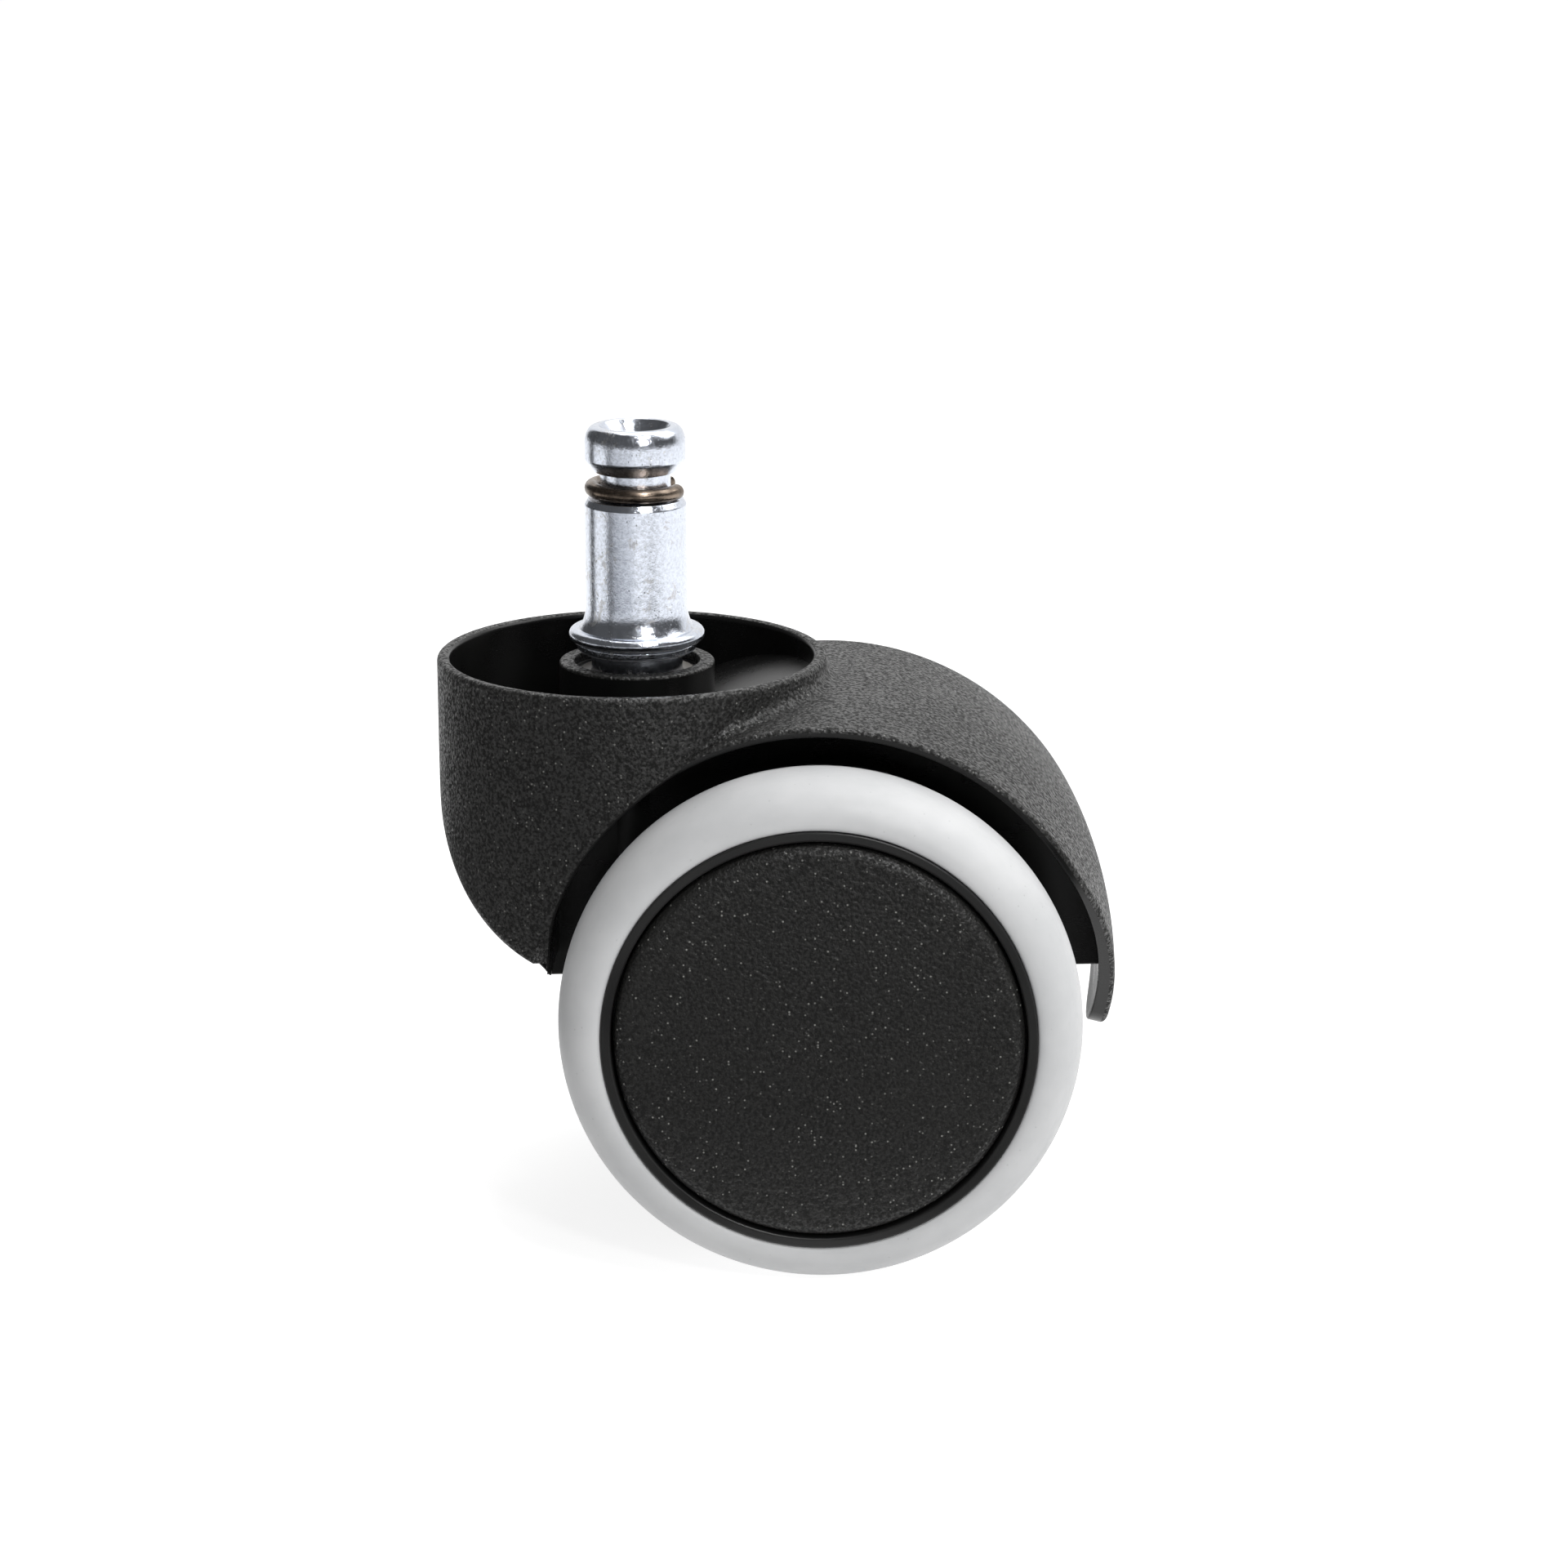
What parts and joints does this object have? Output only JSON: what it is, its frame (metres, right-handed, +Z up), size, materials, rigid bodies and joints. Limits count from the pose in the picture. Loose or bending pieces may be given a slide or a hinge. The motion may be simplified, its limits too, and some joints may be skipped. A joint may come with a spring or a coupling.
{
  "type": "twin wheel chair caster",
  "caption": "Hooded twin-wheel office chair caster: black moulded hood with an open cup, steel plug-in stem with grip ring, soft grey tyres and flat covers.",
  "frame": {"origin": "on the stem's axis, at the top face of the stem's flange, where the chair leg seats", "axes": "+Z up along the stem; +X from the stem towards the tail of the hood; +Y along the axle"},
  "size_m": [0.0672, 0.0574, 0.0786],
  "materials": {
    "zinc_plated_steel": "bright zinc plating, lightly mottled",
    "spring_steel": "bronzed spring wire",
    "grained_black_nylon": "fine spark-eroded grain outside, smooth inside the cup and arch",
    "grained_black_cap": "fine spark-eroded grain",
    "smooth_black_plastic": "smooth, semi-gloss",
    "soft_grey_tyre": "soft light grey elastomer, satin",
    "bush_plastic": "natural low-friction plastic",
    "bare_steel": "drawn steel, lightly oiled"
  },
  "bodies": {
    "stem": {"stem": "zinc_plated_steel", "grip_ring": "spring_steel", "stem_washer": "zinc_plated_steel", "stem_retaining_ring": "spring_steel"},
    "housing": {"housing": "grained_black_nylon", "stem_bush": "bush_plastic", "thrust_disc": "bare_steel", "axle": "bare_steel", "left_axle_clip": "spring_steel", "left_spacer_washer": "bare_steel", "right_axle_clip": "spring_steel", "right_spacer_washer": "bare_steel"},
    "left_wheel": {"left_wheel_core": "smooth_black_plastic", "left_tyre": "soft_grey_tyre", "left_wheel_cap": "grained_black_cap", "left_hub_bush": "bush_plastic"},
    "right_wheel": {"right_wheel_core": "smooth_black_plastic", "right_tyre": "soft_grey_tyre", "right_wheel_cap": "grained_black_cap", "right_hub_bush": "bush_plastic"}
  },
  "joints": [
    {"name": "swivel", "type": "hinge", "parent": "stem", "child": "housing", "pos_m": [0, 0, 0], "axis": [0, 0, 1], "continuous": true},
    {"name": "left_wheel_spin", "type": "hinge", "parent": "housing", "child": "left_wheel", "pos_m": [0.01865, 0, -0.03354], "axis": [0, 1, 0], "continuous": true},
    {"name": "right_wheel_spin", "type": "hinge", "parent": "housing", "child": "right_wheel", "pos_m": [0.01865, 0, -0.03354], "axis": [0, 1, 0], "continuous": true}
  ]
}
